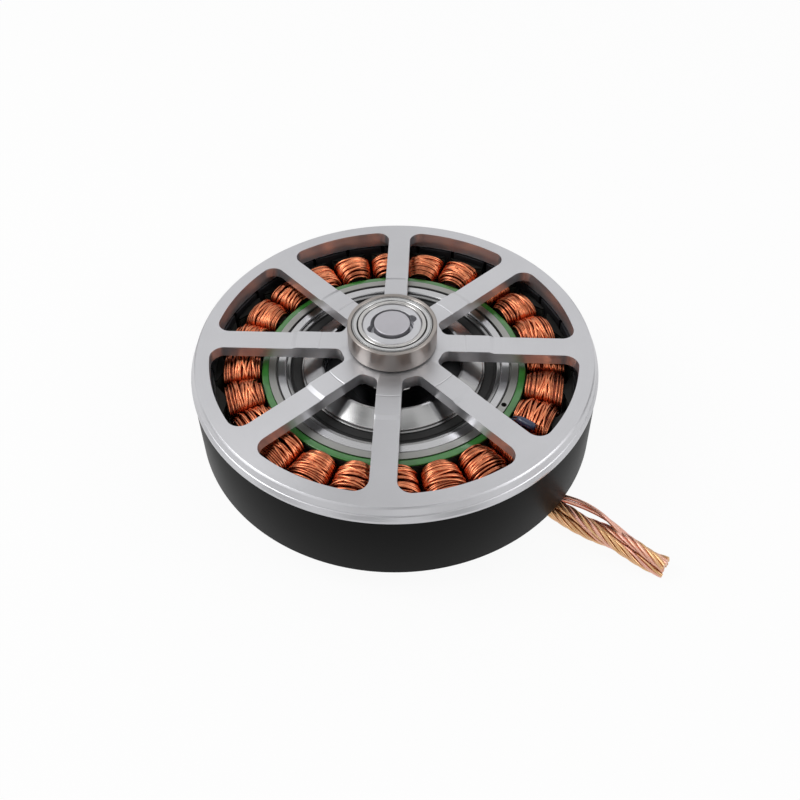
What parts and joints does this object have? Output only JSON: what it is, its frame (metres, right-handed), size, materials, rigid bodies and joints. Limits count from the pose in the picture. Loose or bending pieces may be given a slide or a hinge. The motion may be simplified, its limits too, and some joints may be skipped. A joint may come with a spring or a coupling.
{
  "type": "robot joint actuator",
  "caption": "Frameless outrunner joint actuator: spoked aluminium rotor over a wound stator, planetary stage inside the bore, thin hub bearing on top and a twisted lead bundle.",
  "frame": {"origin": "centre of the base's mounting face, on the motor axis", "axes": "+Z along the motor axis from the output side to the hub bearing; spokes on every 45 degrees from +X; leads leave towards +X and -Y"},
  "size_m": [0.0783, 0.0686, 0.0251],
  "materials": {
    "turned_aluminium": "bright turned and milled aluminium",
    "holder_aluminium": "turned aluminium, grey",
    "black_steel": "black coated steel, satin",
    "magnet_nickel": "nickel plated magnet",
    "bearing_steel": "ground bearing steel",
    "gear_steel": "hobbed and ground steel",
    "black_oxide": "black oxide steel",
    "screw_steel": "black oxide screws",
    "lamination_steel": "green coated laminations",
    "green_insulation": "green insulating coat, gloss",
    "copper_wire": "enamelled copper wire",
    "lead_wire": "twisted enamelled copper leads",
    "sensor_epoxy": "dark blue epoxy bead",
    "bearing_seal": "black bearing seal",
    "shield_steel": "pressed steel shield"
  },
  "bodies": {
    "stator": {"stator_base": "holder_aluminium", "stator_core": "lamination_steel", "upper_insulator": "green_insulation", "lower_insulator": "green_insulation", "windings_phase_a": "copper_wire", "windings_phase_b": "copper_wire", "windings_phase_c": "copper_wire", "temperature_sensor": "sensor_epoxy", "lead_bundle": "lead_wire", "ring_gear": "gear_steel", "ring_gear_screws": "screw_steel", "main_bearing_outer_ring": "bearing_steel", "main_bearing_seals": "bearing_seal", "lower_bearing_outer_ring": "bearing_steel", "lower_bearing_seals": "bearing_seal"},
    "rotor": {"rotor_cover": "turned_aluminium", "flux_ring": "black_steel", "rotor_magnets": "magnet_nickel", "encoder_magnet": "magnet_nickel", "sun_gear_shaft": "gear_steel", "hub_bearing_inner_ring": "bearing_steel", "shaft_bearing_inner_ring": "bearing_steel", "pilot_bearing_inner_ring": "bearing_steel"},
    "hub_bearing_outer": {"hub_bearing_outer_ring": "bearing_steel", "hub_bearing_seals": "shield_steel"},
    "carrier": {"carrier_lower": "black_oxide", "carrier_upper": "black_oxide", "bearing_lock_ring": "bearing_steel", "planet_pins": "gear_steel", "carrier_screws": "screw_steel", "main_bearing_inner_ring": "bearing_steel", "lower_bearing_inner_ring": "bearing_steel", "shaft_bearing_outer_ring": "bearing_steel", "shaft_bearing_seals": "bearing_seal", "pilot_bearing_outer_ring": "bearing_steel"},
    "planet_1": {"planet_gear_1": "gear_steel"},
    "planet_2": {"planet_gear_2": "gear_steel"},
    "planet_3": {"planet_gear_3": "gear_steel"}
  },
  "joints": [
    {"name": "rotor_spin", "type": "hinge", "parent": "stator", "child": "rotor", "pos_m": [0, 0, 0.014], "axis": [0, 0, 1], "continuous": true},
    {"name": "hub_bearing_spin", "type": "hinge", "parent": "rotor", "child": "hub_bearing_outer", "pos_m": [0, 0, 0.023], "axis": [0, 0, 1], "continuous": true},
    {"name": "carrier_spin", "type": "hinge", "parent": "stator", "child": "carrier", "pos_m": [0, 0, 0.008], "axis": [0, 0, 1], "continuous": true},
    {"name": "planet_1_spin", "type": "hinge", "parent": "carrier", "child": "planet_1", "pos_m": [0, 0.009, 0.0084], "axis": [0, 0, 1], "continuous": true},
    {"name": "planet_2_spin", "type": "hinge", "parent": "carrier", "child": "planet_2", "pos_m": [-0.00779, -0.0045, 0.0084], "axis": [0, 0, 1], "continuous": true},
    {"name": "planet_3_spin", "type": "hinge", "parent": "carrier", "child": "planet_3", "pos_m": [0.00779, -0.0045, 0.0084], "axis": [0, 0, 1], "continuous": true}
  ],
  "couplings": [
    {"joint": "carrier_spin", "follows": "rotor_spin", "ratio": 0.2},
    {"joint": "planet_1_spin", "follows": "rotor_spin", "ratio": -0.53333},
    {"joint": "planet_2_spin", "follows": "rotor_spin", "ratio": -0.53333},
    {"joint": "planet_3_spin", "follows": "rotor_spin", "ratio": -0.53333}
  ]
}
